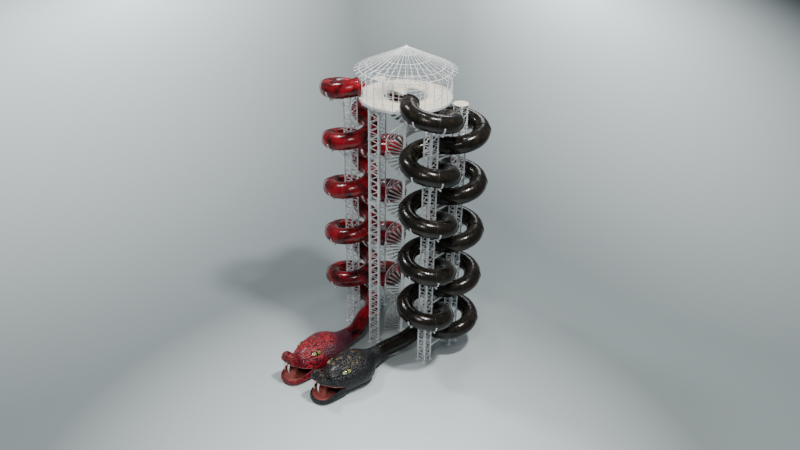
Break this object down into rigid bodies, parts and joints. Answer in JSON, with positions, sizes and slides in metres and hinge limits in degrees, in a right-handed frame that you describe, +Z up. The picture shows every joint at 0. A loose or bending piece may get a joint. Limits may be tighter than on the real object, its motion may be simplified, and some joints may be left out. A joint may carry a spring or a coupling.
{
  "type": "water slide tower",
  "caption": "Round roofed deck on lattice columns with a spiral stair and two enclosed tube slides that wind down lattice towers into open snake heads.",
  "frame": {"origin": "centre of the stair pole's foot plate, on the ground under the middle of the deck", "axes": "+Z up, -Y towards the snake heads, the black slide on the +X side"},
  "size_m": [14.3798, 17.6542, 28.813],
  "materials": {
    "black_tube": "gloss gel coat",
    "red_tube": "gloss gel coat with dark marbling",
    "black_scales": "satin painted scales",
    "red_scales": "satin painted scales",
    "white_steel": "satin white paint",
    "deck_boards": "pale boards",
    "stair_treads": "light grey paint",
    "fang_ivory": "ivory gloss",
    "eye_yellow": "gloss paint"
  },
  "bodies": {
    "root": {"black_back_tower": "white_steel", "black_entrance_saddle": "white_steel", "black_eye_left": "eye_yellow", "black_eye_right": "eye_yellow", "black_fang_left": "fang_ivory", "black_fang_right": "fang_ivory", "black_front_tower": "white_steel", "black_head": "black_scales", "black_lower_jaw": "black_scales", "black_slide_exit": "black_tube", "black_slide_loop_1": "black_tube", "black_slide_loop_10": "black_tube", "black_slide_loop_2": "black_tube", "black_slide_loop_3": "black_tube", "black_slide_loop_4": "black_tube", "black_slide_loop_5": "black_tube", "black_slide_loop_6": "black_tube", "black_slide_loop_7": "black_tube", "black_slide_loop_8": "black_tube", "black_slide_loop_9": "black_tube", "black_tower_cap": "deck_boards", "deck_column_back": "white_steel", "deck_column_front": "white_steel", "deck_plate": "deck_boards", "deck_ring_beam": "white_steel", "posts_and_eave_ring": "white_steel", "red_back_tower": "white_steel", "red_entrance_saddle": "white_steel", "red_eye_left": "eye_yellow", "red_eye_right": "eye_yellow", "red_fang_left": "fang_ivory", "red_fang_right": "fang_ivory", "red_front_tower": "white_steel", "red_head": "red_scales", "red_lower_jaw": "red_scales", "red_slide_exit": "red_tube", "red_slide_loop_1": "red_tube", "red_slide_loop_10": "red_tube", "red_slide_loop_2": "red_tube", "red_slide_loop_3": "red_tube", "red_slide_loop_4": "red_tube", "red_slide_loop_5": "red_tube", "red_slide_loop_6": "red_tube", "red_slide_loop_7": "red_tube", "red_slide_loop_8": "red_tube", "red_slide_loop_9": "red_tube", "red_tower_cap": "deck_boards", "roof_rafters": "white_steel", "stair_flight_1": "stair_treads", "stair_flight_2": "stair_treads", "stair_flight_3": "stair_treads", "stair_flight_4": "stair_treads", "stair_flight_5": "stair_treads", "stair_guard": "white_steel", "stair_handrail_1": "white_steel", "stair_handrail_2": "white_steel", "stair_handrail_3": "white_steel", "stair_handrail_4": "white_steel", "stair_handrail_5": "white_steel", "stair_pole": "white_steel"}
  },
  "joints": []
}
